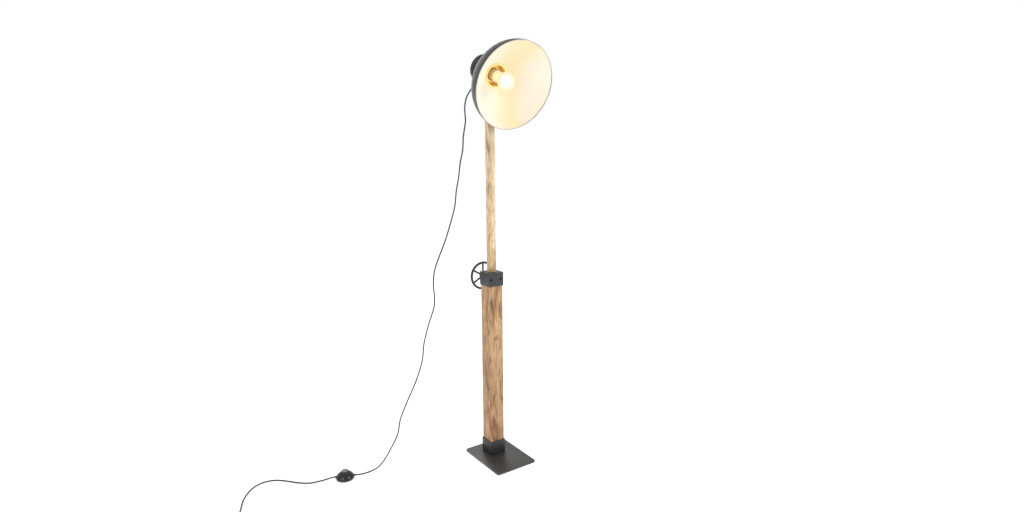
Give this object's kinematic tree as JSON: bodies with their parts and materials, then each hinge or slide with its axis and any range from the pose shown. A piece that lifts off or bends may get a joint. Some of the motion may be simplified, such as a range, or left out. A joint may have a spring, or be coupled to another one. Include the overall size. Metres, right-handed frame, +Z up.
{
  "type": "adjustable arm floor lamp",
  "caption": "Floor lamp with a square wooden mast that slides in a wooden post, clamped by a spoked handwheel, a tilting dome shade, and a cord with a foot switch.",
  "frame": {"origin": "middle of the underside of the base, on the floor", "axes": "+Z up; the shade faces -Y, and the handwheel is on the +Y side"},
  "size_m": [1.0945, 0.5026, 1.5165],
  "materials": {
    "pad_rubber": "matt foam rubber",
    "black_steel": "satin black powder coat",
    "zinc": "zinc plated",
    "post_wood": "oiled mango wood with open grain",
    "mast_wood": "oiled mango wood, lighter",
    "black_screw": "black oxide",
    "guide_plastic": "moulded nylon",
    "brass": "polished brass",
    "black_iron": "black painted casting",
    "black_plastic": "moulded black",
    "cap_black": "ribbed black phenolic",
    "holder_ceramic": "glazed ivory",
    "bulb_metal": "threaded cap",
    "bulb_glow": "frosted, lit",
    "stem_glass": "clear",
    "filament": "lit coil",
    "shade_metal": "satin charcoal outside, cream inside",
    "black_rubber": "soft moulded",
    "cord_black": "smooth black flex",
    "gloss_black": "high gloss black",
    "pin_metal": "nickel plated pins"
  },
  "bodies": {
    "stand": {"base_pad": "pad_rubber", "base_plate": "black_steel", "post_socket": "black_steel", "base_screws": "zinc", "lower_post": "post_wood", "post_collar": "black_steel", "collar_screws": "black_screw", "guide_bush": "guide_plastic", "clamp_boss": "black_steel", "cord_drop": "cord_black", "switch_base": "black_plastic", "switch_cover": "gloss_black", "switch_spring": "zinc", "cord_tail": "cord_black", "cord_coil": "cord_black", "cord_tie": "black_plastic", "cord_lead": "cord_black", "plug_body": "black_plastic", "plug_pins": "pin_metal"},
    "clamp": {"clamp_pad": "brass"},
    "wheel": {"clamp_screw": "zinc", "handwheel": "black_iron", "wheel_nut": "zinc"},
    "mast": {"mast": "mast_wood", "mast_foot": "guide_plastic", "foot_screw": "zinc", "mast_fork": "black_steel", "fork_screws": "black_screw", "tilt_bolt": "zinc"},
    "knob": {"tilt_knob": "black_plastic"},
    "head": {"head_bracket": "black_steel", "tilt_washers": "guide_plastic", "cap_shell": "cap_black", "cap_screws": "black_screw", "neck_liner": "brass", "holder_bridge": "zinc", "bridge_screws": "zinc", "lampholder": "holder_ceramic", "screw_shell": "brass", "centre_contact": "brass", "bulb_cap": "bulb_metal", "bulb_glass": "bulb_glow", "bulb_stem": "stem_glass", "bulb_filament": "filament", "shade": "shade_metal", "shade_crown": "shade_metal", "shade_ring": "brass", "cord_gland": "black_plastic", "strain_relief": "black_rubber"},
    "button": {"switch_button": "gloss_black"}
  },
  "joints": [
    {"name": "clamp_travel", "type": "slide", "parent": "stand", "child": "clamp", "axis": [0, 1, 0], "range_m": [0, 0.003]},
    {"name": "handwheel_turn", "type": "hinge", "parent": "clamp", "child": "wheel", "pos_m": [0, 0.104, 0.694], "axis": [0, 1, 0], "range_deg": [0, 720]},
    {"name": "mast_slide", "type": "slide", "parent": "stand", "child": "mast", "axis": [0, 0, 1], "range_m": [-0.45, 0.1], "deforming": ["cord_drop"]},
    {"name": "head_tilt", "type": "hinge", "parent": "mast", "child": "head", "pos_m": [0, 0.044, 1.359], "axis": [1, 0, 0], "range_deg": [-60, 12]},
    {"name": "tilt_knob_turn", "type": "hinge", "parent": "mast", "child": "knob", "pos_m": [0.012, 0.044, 1.359], "axis": [1, 0, 0], "range_deg": [-180, 180]},
    {"name": "button_press", "type": "slide", "parent": "stand", "child": "button", "axis": [0, 0, -1], "range_m": [0, 0.003], "stiffness_N_per_m": 800, "springref_m": -0.001}
  ],
  "couplings": [
    {"joint": "clamp_travel", "follows": "handwheel_turn", "m_per_rad": 0.00023873}
  ]
}
